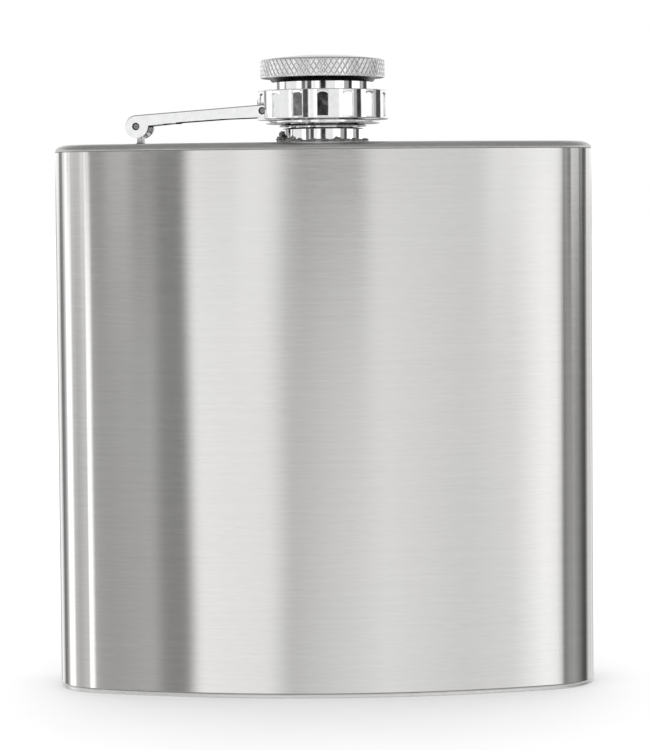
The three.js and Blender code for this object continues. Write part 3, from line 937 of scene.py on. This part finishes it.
# The narrow strip just above the horizon, which the bright closure mirrors.
STRIP = [
    (-180, 1.3), (-132, 1.3), (-129, 0.35), (-117, 0.35), (-115, 1.3), (-99, 1.3), (-97, 0.4), (-93, 0.4),
    (-91, 0.95), (-62, 0.9), (-60, 1.4), (-50, 1.4), (-48, 0.15), (-41, 0.15), (-39, 0.7), (-36, 0.7),
    (-34, 0.08), (-26, 0.08), (-24, 1.2), (-21.5, 0.96), (-16.5, 0.96), (-14, 1.3), (-9, 1.25), (-4, 0.02),
    (0, 0.02), (6, 0.02), (9, 0.9), (28, 0.9), (31, 1.4), (49, 1.4), (51, 0.42), (61, 0.42), (63, 0.04),
    (70, 0.04), (72, 1.3), (94, 1.2), (96, 0.1), (98, 0.55), (106, 0.5), (108, 0.08), (121, 0.08),
    (123, 1.3), (180, 1.3),
]

# Where one zone gives way to the next. Heights are the sines of angles above the horizon.
STRIP_FOOT = 0.004, 0.014
STRIP_HEAD = 0.062, 0.08
UPPER_START = 0.07, 0.1
UPPER_LEVEL = 0.85
CEILING_START = 0.42, 0.58
CEILING_LEVEL = 0.3
PIT_START = -0.55, -0.4
PIT_LEVEL = 0.8
FLOOR_LIGHT = 1.4
BACKDROP = 1


def compass_ramp(tree, angle, bands, start, end):
    """Brightness by compass angle, for the part of the bands between two angles in degrees."""
    ramp = tree.nodes.new("ShaderNodeValToRGB")
    part = map_range(tree, angle, math.radians(start), math.radians(end))
    tree.links.new(part, ramp.inputs["Fac"])
    stops = ramp.color_ramp.elements
    inside = [(degrees, level) for degrees, level in bands if start <= degrees <= end]
    for index, (degrees, level) in enumerate(inside):
        along = (degrees - start) / (end - start)
        # A new ramp has two stops already.
        stop = stops[index] if index < 2 else stops.new(along)
        stop.position = along
        stop.color = (*grey(level), 1)
    return ramp.outputs["Color"]


def smooth_step(tree, value, start, end):
    """0 before start and 1 after end."""
    return map_range(tree, value, start, end, how="SMOOTHSTEP")


def studio_light():
    """Walls, softboxes and flags, drawn on the world by direction, which only the reflections show.

    Over them are an even zone and a dim ceiling, and far below the horizon is a plain pit. What lights the
    floor is even, and what the camera sees behind the flask is white.
    """
    world = bpy.data.worlds.new("studio")
    bpy.context.scene.world = world
    world.use_nodes = True
    tree = world.node_tree
    split = tree.nodes.new("ShaderNodeSeparateXYZ")
    tree.links.new(tree.nodes.new("ShaderNodeTexCoord").outputs["Generated"], split.inputs["Vector"])
    x, y, z = (split.outputs[axis] for axis in "XYZ")
    angle = math_node(tree, "ARCTAN2", x, math_node(tree, "MULTIPLY", y, -1))
    right = math_node(tree, "GREATER_THAN", angle, 0)
    rounds = []
    for bands in (WALLS, STRIP):
        halves = [compass_ramp(tree, angle, bands, *ends) for ends in ((-180, 0), (0, 180))]
        rounds.append(blend_colors(tree, right, *halves))
    over_foot, over_head = (smooth_step(tree, z, *zone) for zone in (STRIP_FOOT, STRIP_HEAD))
    level = blend_colors(tree, math_node(tree, "SUBTRACT", over_foot, over_head), *rounds)
    level = blend_colors(tree, smooth_step(tree, z, *UPPER_START), level, grey(UPPER_LEVEL))
    level = blend_colors(tree, smooth_step(tree, z, *CEILING_START), level, grey(CEILING_LEVEL))
    level = blend_colors(tree, smooth_step(tree, z, *PIT_START), grey(PIT_LEVEL), level)
    path = tree.nodes.new("ShaderNodeLightPath").outputs
    level = blend_colors(tree, path["Is Diffuse Ray"], level, grey(FLOOR_LIGHT))
    level = blend_colors(tree, path["Is Camera Ray"], level, grey(BACKDROP))
    tree.links.new(level, tree.nodes["Background"].inputs["Color"])


def floor():
    """A pale floor that the metal doesn't mirror, so that the world alone decides the reflections."""
    reach = 6000
    corners = [(-reach, -reach, 0), (reach, -reach, 0), (reach, reach, 0), (-reach, reach, 0)]
    piece = link_mesh("floor", corners, [(0, 1, 2, 3)])
    shader = Shader("pale_floor", grey(0.93), 0, 0.7)
    grain = shader.noise(40, 3, 0.5)
    shader.color(shader.mix(shader.spread(grain, 0, 1), grey(0.92), grey(0.94)))
    piece.data.materials.append(shader.material)
    piece.visible_glossy = False


def camera():
    """A long lens a little below the flask's flat top, tipped down and rolled slightly."""
    distance = 457
    below_top = 9.8
    tip_degrees = 2.55458
    roll_degrees = 0.5
    data = bpy.data.cameras.new("camera")
    data.sensor_width = 36
    data.lens = 124.8
    data.shift_x = 0.002
    data.shift_y = -0.08
    data.clip_start = 0.01
    eye = bpy.data.objects.new("camera", data)
    bpy.context.scene.collection.objects.link(eye)
    eye.location = Vector((0, -distance, TOP - below_top)) * MM
    eye.rotation_euler = (math.pi / 2 - math.radians(tip_degrees), math.radians(roll_degrees), 0)
    bpy.context.scene.camera = eye
    bpy.context.scene.view_settings.view_transform = "Standard"


body_shell()
top_plate()
bottom_plate()
neck()
neck_weld()
cap_sleeve()
cap_gasket()
retaining_washer()
cap_head()
collar()
bracket()
bracket_weld()
arm()
pins()
studio_light()
floor()
camera()
